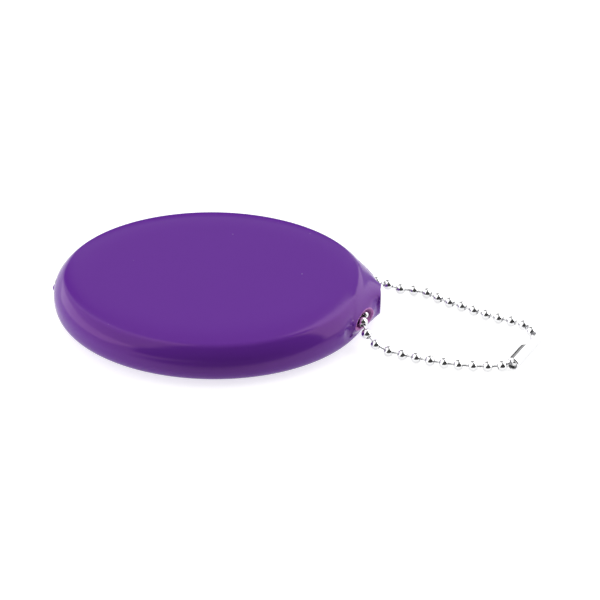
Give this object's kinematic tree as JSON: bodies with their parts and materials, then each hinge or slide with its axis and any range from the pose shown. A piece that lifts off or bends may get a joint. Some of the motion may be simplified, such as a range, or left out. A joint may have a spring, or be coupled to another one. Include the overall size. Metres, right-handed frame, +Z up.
{
  "type": "squeeze coin purse",
  "caption": "Oval squeeze coin purse in glossy soft vinyl with a slit base that folds open, and a looped ball chain with a clasp through its neck.",
  "frame": {"origin": "under the middle of the moulded purse, on the face it rests on", "axes": "+X along the purse's length towards the neck and the chain, +Y across its width, +Z up out of the plain top face"},
  "size_m": [0.1124, 0.058, 0.0106],
  "materials": {
    "vinyl": "soft dip-moulded vinyl, smooth and glossy",
    "bead_metal": "bright plated",
    "link_wire": "bright plated wire",
    "clasp_metal": "bright plated sheet metal"
  },
  "bodies": {
    "purse": {"shell": "vinyl"},
    "front_lip": {"front_lip": "vinyl"},
    "rear_lip": {"rear_lip": "vinyl"},
    "chain_root": {"neck_bead_01": "bead_metal", "neck_bead_02": "bead_metal", "neck_bead_03": "bead_metal", "neck_bead_04": "bead_metal", "neck_bead_05": "bead_metal", "neck_bead_06": "bead_metal", "neck_links": "link_wire"},
    "row_01": {"near_bead_01": "bead_metal", "far_bead_01": "bead_metal", "row_01_links": "link_wire"},
    "row_02": {"near_bead_02": "bead_metal", "far_bead_02": "bead_metal", "row_02_links": "link_wire"},
    "row_03": {"near_bead_03": "bead_metal", "far_bead_03": "bead_metal", "row_03_links": "link_wire"},
    "row_04": {"near_bead_04": "bead_metal", "far_bead_04": "bead_metal", "row_04_links": "link_wire"},
    "row_05": {"near_bead_05": "bead_metal", "far_bead_05": "bead_metal", "row_05_links": "link_wire"},
    "row_06": {"near_bead_06": "bead_metal", "far_bead_06": "bead_metal", "row_06_links": "link_wire"},
    "row_07": {"near_bead_07": "bead_metal", "far_bead_07": "bead_metal", "row_07_links": "link_wire"},
    "row_08": {"near_bead_08": "bead_metal", "far_bead_08": "bead_metal", "row_08_links": "link_wire"},
    "row_09": {"near_bead_09": "bead_metal", "far_bead_09": "bead_metal", "row_09_links": "link_wire"},
    "row_10": {"near_bead_10": "bead_metal", "far_bead_10": "bead_metal", "row_10_links": "link_wire"},
    "row_11": {"near_bead_11": "bead_metal", "far_bead_11": "bead_metal", "row_11_links": "link_wire"},
    "row_12": {"near_bead_12": "bead_metal", "far_bead_12": "bead_metal", "row_12_links": "link_wire", "far_bead_13": "bead_metal", "far_bead_14": "bead_metal", "far_bead_15": "bead_metal"},
    "clasp": {"chain_connector": "clasp_metal"}
  },
  "joints": [
    {"name": "front_lip_fold", "type": "hinge", "parent": "purse", "child": "front_lip", "pos_m": [0, -0.016, 0], "axis": [-1, 0, 0], "range_deg": [0, 38], "stiffness_Nm_per_rad": 0.06},
    {"name": "rear_lip_fold", "type": "hinge", "parent": "purse", "child": "rear_lip", "pos_m": [0, 0.016, 0], "axis": [1, 0, 0], "range_deg": [0, 38], "stiffness_Nm_per_rad": 0.06},
    {"name": "chain_swing", "type": "hinge", "parent": "purse", "child": "chain_root", "pos_m": [0.0344, -0.0094, 0.0053], "axis": [-0.0611, -0.9981, 0], "range_deg": [0, 90]},
    {"name": "row_01_bend", "type": "hinge", "parent": "chain_root", "child": "row_01", "pos_m": [0.03543, -0.01223, 0.0041], "axis": [-0.0771, -0.9969, -0.0149], "range_deg": [-10, 10]},
    {"name": "row_02_bend", "type": "hinge", "parent": "row_01", "child": "row_02", "pos_m": [0.03752, -0.01411, 0.0025], "axis": [-0.0889, -0.9958, -0.0217], "range_deg": [-10, 10]},
    {"name": "row_03_bend", "type": "hinge", "parent": "row_02", "child": "row_03", "pos_m": [0.04045, -0.01495, 0.0014], "axis": [-0.0835, -0.9964, -0.0166], "range_deg": [-10, 10]},
    {"name": "row_04_bend", "type": "hinge", "parent": "row_03", "child": "row_04", "pos_m": [0.04356, -0.01585, 0.0012], "axis": [-0.0781, -0.9969, -0.004], "range_deg": [-10, 10]},
    {"name": "row_05_bend", "type": "hinge", "parent": "row_04", "child": "row_05", "pos_m": [0.04664, -0.01685, 0.0012], "axis": [-0.0752, -0.9972, 0], "range_deg": [-10, 10]},
    {"name": "row_06_bend", "type": "hinge", "parent": "row_05", "child": "row_06", "pos_m": [0.04976, -0.01774, 0.0012], "axis": [-0.0556, -0.9985, 0], "range_deg": [-10, 10]},
    {"name": "row_07_bend", "type": "hinge", "parent": "row_06", "child": "row_07", "pos_m": [0.05291, -0.01847, 0.0012], "axis": [-0.0376, -0.9993, 0], "range_deg": [-10, 10]},
    {"name": "row_08_bend", "type": "hinge", "parent": "row_07", "child": "row_08", "pos_m": [0.05611, -0.01897, 0.0012], "axis": [-0.021, -0.9998, 0], "range_deg": [-10, 10]},
    {"name": "row_09_bend", "type": "hinge", "parent": "row_08", "child": "row_09", "pos_m": [0.05935, -0.0192, 0.0012], "axis": [-0.0003, -1, 0], "range_deg": [-10, 10]},
    {"name": "row_10_bend", "type": "hinge", "parent": "row_09", "child": "row_10", "pos_m": [0.06259, -0.01926, 0.0012], "axis": [0.0235, -0.9997, 0], "range_deg": [-10, 10]},
    {"name": "row_11_bend", "type": "hinge", "parent": "row_10", "child": "row_11", "pos_m": [0.06581, -0.01897, 0.0013], "axis": [0.0467, -0.9989, 0.0054], "range_deg": [-10, 10]},
    {"name": "row_12_bend", "type": "hinge", "parent": "row_11", "child": "row_12", "pos_m": [0.06866, -0.01746, 0.0016], "axis": [0.0471, -0.9986, 0.0252], "range_deg": [-10, 10]},
    {"name": "clasp_open", "type": "hinge", "parent": "row_12", "child": "clasp", "pos_m": [0.06866, -0.01746, 0.0016], "axis": [0, 0, -1], "range_deg": [0, 40]}
  ],
  "couplings": [
    {"joint": "rear_lip_fold", "follows": "front_lip_fold", "ratio": 1}
  ]
}
